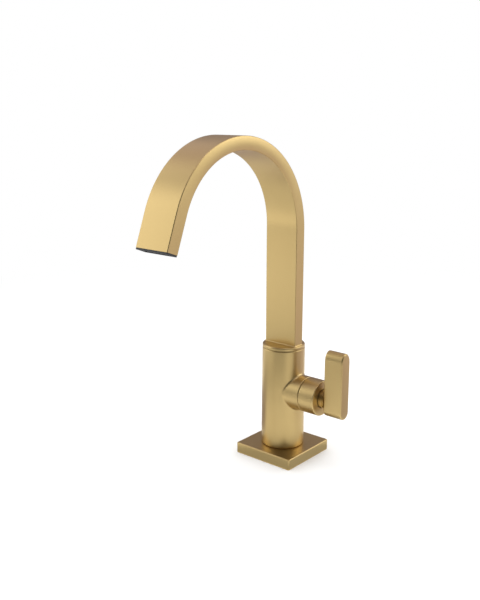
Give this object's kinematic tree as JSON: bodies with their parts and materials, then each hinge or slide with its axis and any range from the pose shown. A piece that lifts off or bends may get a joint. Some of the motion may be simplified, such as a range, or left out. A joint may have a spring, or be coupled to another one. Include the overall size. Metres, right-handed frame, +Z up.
{
  "type": "basin mixer faucet",
  "caption": "Deck-mounted basin mixer faucet: square base plate, round body, flat swivelling gooseneck spout and a side lever that turns a ceramic cartridge.",
  "frame": {"origin": "on the counter surface, at the centre of the base plate's underside, on the body's axis", "axes": "+Z up along the body, +X out along the lever's axis, the spout reaches towards -Y"},
  "size_m": [0.0881, 0.1725, 0.2635],
  "materials": {
    "satin_gold": "fine satin gold coating on brass",
    "raw_brass": "machined",
    "black_plastic": "fine moulded",
    "white_plastic": "moulded",
    "black_rubber": "matt",
    "ceramic": "lapped, opaque",
    "steel": "plain stainless"
  },
  "bodies": {
    "fixed_body": {"base_plate": "satin_gold", "deck_seal": "black_rubber", "body": "satin_gold", "spout_lock_screw": "steel", "inlet_foot": "raw_brass", "inlet_seals": "black_rubber", "foot_o_ring": "black_rubber", "cartridge_base": "white_plastic", "port_seals": "black_rubber", "fixed_ceramic_disc": "ceramic", "cartridge_housing": "raw_brass", "cartridge_nut": "raw_brass", "cover_ring": "satin_gold", "glide_ring": "black_plastic"},
    "spout": {"spout_foot": "satin_gold", "spigot_o_rings": "black_rubber", "spout_tube": "satin_gold", "aerator_housing": "black_plastic", "aerator_grid": "black_plastic", "aerator_screen": "steel", "aerator_seal": "black_rubber"},
    "lever": {"handle_blade": "satin_gold", "handle_neck": "satin_gold", "handle_set_screw": "steel", "cartridge_spindle": "raw_brass", "spindle_o_rings": "black_rubber", "disc_driver": "white_plastic", "moving_ceramic_disc": "ceramic"}
  },
  "joints": [
    {"name": "spout_swivel", "type": "hinge", "parent": "fixed_body", "child": "spout", "pos_m": [0, 0, 0.0928], "axis": [0, 0, 1], "range_deg": [-60, 60]},
    {"name": "lever_turn", "type": "hinge", "parent": "fixed_body", "child": "lever", "pos_m": [0.0398, 0, 0.0568], "axis": [1, 0, 0], "range_deg": [0, 100]}
  ]
}
